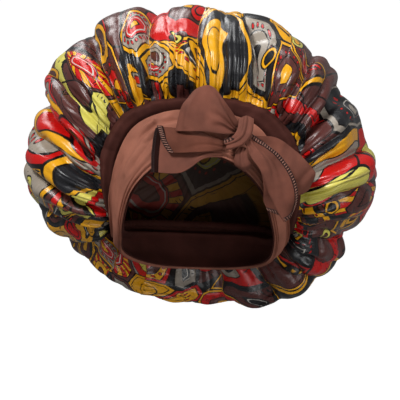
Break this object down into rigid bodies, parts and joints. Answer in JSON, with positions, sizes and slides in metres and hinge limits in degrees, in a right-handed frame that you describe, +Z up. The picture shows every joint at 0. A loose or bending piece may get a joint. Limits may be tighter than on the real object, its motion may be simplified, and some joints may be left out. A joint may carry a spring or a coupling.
{
  "type": "long sleep bonnet",
  "caption": "Large puffed sleep bonnet of printed satin gathered onto a wide stretch band, with a long stretch tie wrapped over the forehead and knotted in a bow.",
  "frame": {"origin": "middle of the head opening, midway between the wearer's temples, where the head sits", "axes": "+X to the right as the bonnet is seen from the front, -Y the way the wearer looks, +Z up"},
  "size_m": [0.359, 0.2939, 0.3111],
  "materials": {
    "printed_satin": "glossy polyester satin, printed all over in mustard, red, olive, grey, brown and black",
    "band_jersey": "matt dark brown stretch jersey, in shade behind the tie",
    "tie_jersey": "matt warm brown stretch jersey with overlocked cut edges"
  },
  "bodies": {
    "root": {"satin_bag_top": "printed_satin", "satin_bag_left": "printed_satin", "satin_bag_right": "printed_satin", "satin_bag_nape": "printed_satin", "satin_bag_back": "printed_satin", "edge_band": "band_jersey", "head_tie": "tie_jersey", "bow_knot": "tie_jersey", "knot_tuck": "tie_jersey", "bow_loop_left": "tie_jersey", "bow_loop_right": "tie_jersey", "tie_end_left": "tie_jersey", "tie_end_right": "tie_jersey"}
  },
  "joints": []
}
